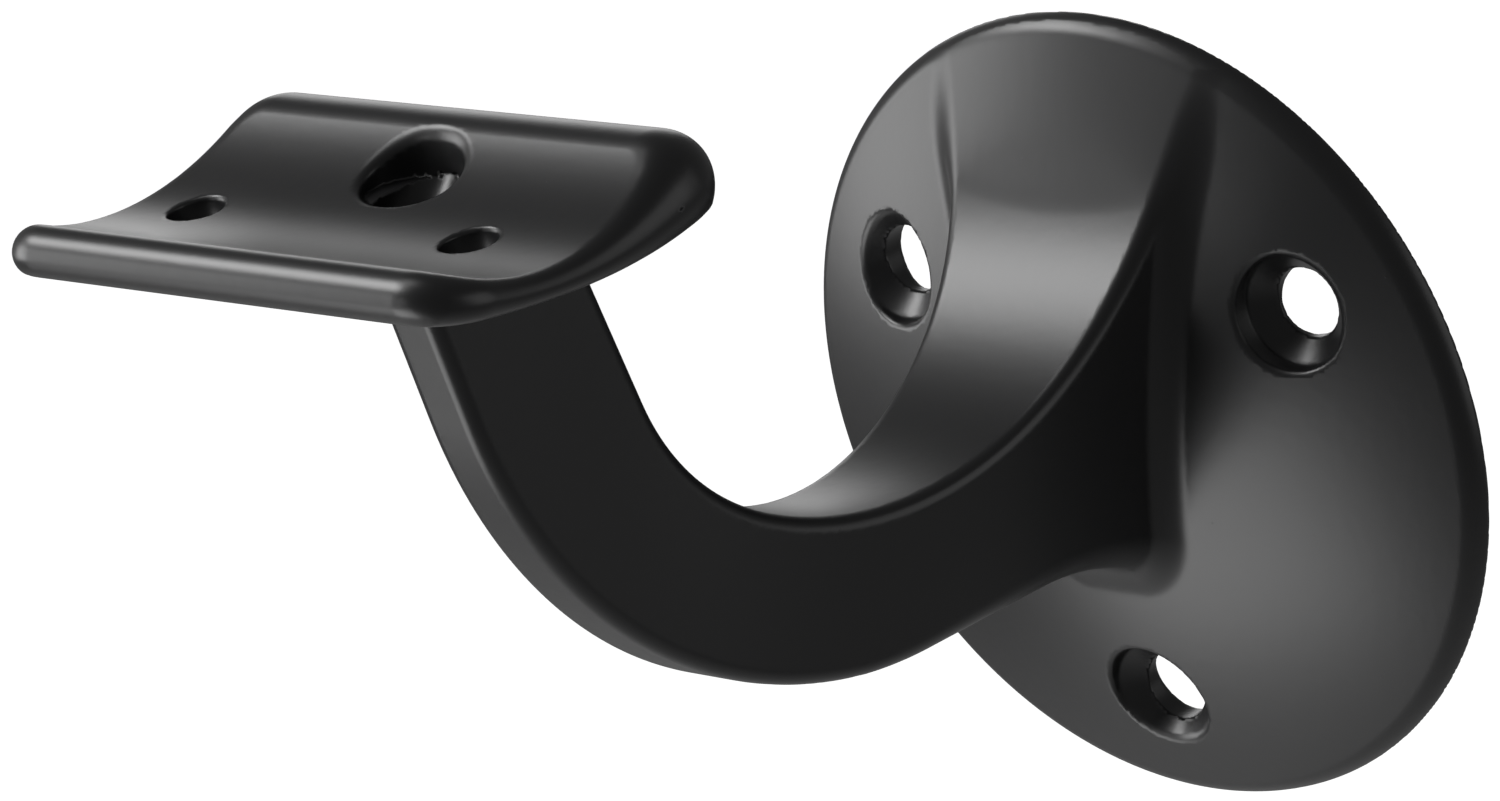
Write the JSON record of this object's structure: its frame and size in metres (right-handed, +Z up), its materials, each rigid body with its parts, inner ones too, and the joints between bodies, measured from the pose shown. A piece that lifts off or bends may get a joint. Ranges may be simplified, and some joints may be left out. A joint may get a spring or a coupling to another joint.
{
  "type": "handrail_bracket",
  "caption": "Wall bracket for a round handrail: domed round plate with countersunk screw holes, flared J-shaped arm and a hollowed saddle for the rail",
  "frame": {"origin": "centre of the wall plate in the plane of its flat seating ring, which lies on the wall", "axes": "+Z up, -Y straight out from the wall, X along the rail"},
  "size_m": [0.07, 0.0958, 0.0857],
  "materials": {
    "casting": "satin black powder coat"
  },
  "bodies": {
    "root": {"handrail_bracket": "casting"}
  },
  "joints": []
}
